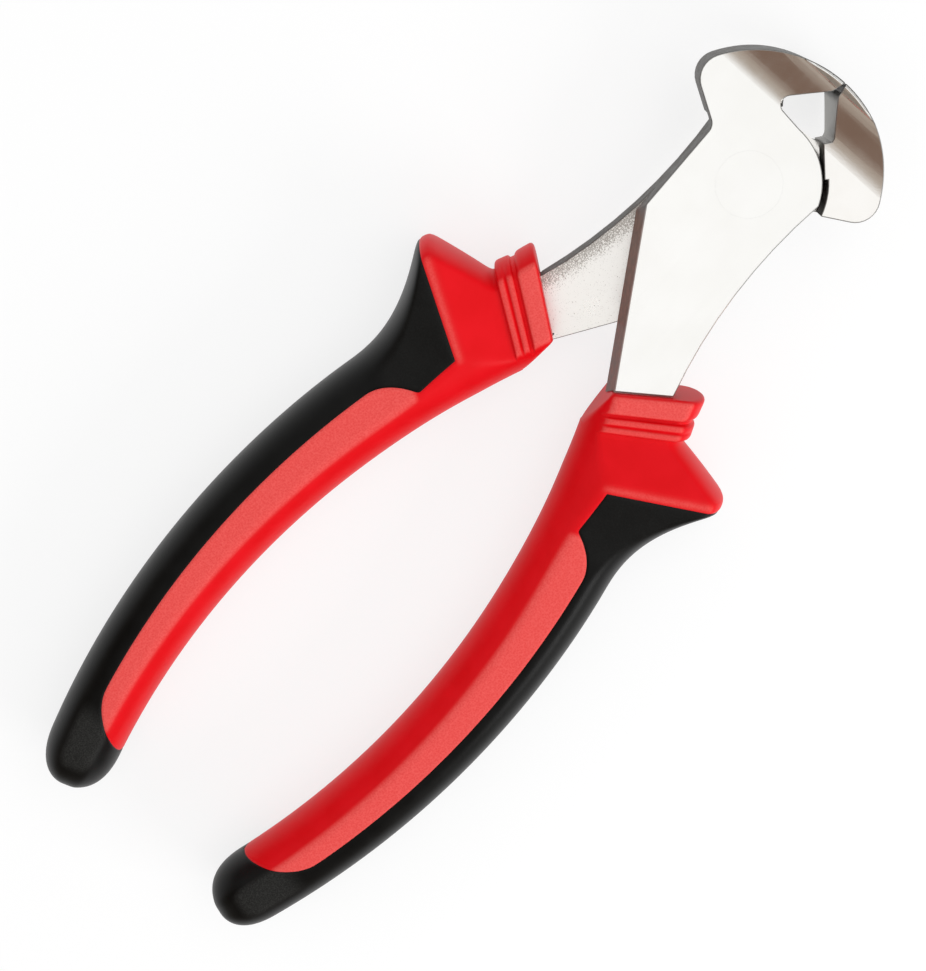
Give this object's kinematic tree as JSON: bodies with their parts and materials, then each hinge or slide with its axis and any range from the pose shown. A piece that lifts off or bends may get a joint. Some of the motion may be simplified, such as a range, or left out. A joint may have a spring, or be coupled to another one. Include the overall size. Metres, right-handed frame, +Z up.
{
  "type": "end cutting nippers",
  "caption": "Hand nippers with wide flared end-cutting jaws on a flush riveted lap joint and long bowed grips in red plastic and soft black rubber, with finger guards.",
  "frame": {"origin": "under the middle of the tool's length and width, on the bench plane on which the tool lies on its back", "axes": "+Y along the tool towards the cutting edge, +Z up out of the front lap face, along the rivet, +X across the handles to the right grip"},
  "size_m": [0.0686, 0.1784, 0.0204],
  "materials": {
    "polished_steel": "ground and polished, nickel plated",
    "satin_steel": "satin, nickel plated over a blasted forging",
    "rivet_steel": "ground flush with the lap",
    "red_plastic": "moulded, finely textured on the panels",
    "black_rubber": "soft, finely textured"
  },
  "bodies": {
    "front_lever": {"front_half": "polished_steel", "pivot_rivet": "rivet_steel", "right_grip_core": "red_plastic", "right_grip_cover": "black_rubber"},
    "back_lever": {"back_half": "satin_steel", "left_grip_core": "red_plastic", "left_grip_cover": "black_rubber"}
  },
  "joints": [
    {"name": "pivot", "type": "hinge", "parent": "front_lever", "child": "back_lever", "pos_m": [0, 0.06701, 0.0102], "axis": [0, 0, -1], "range_deg": [0, 45]}
  ]
}
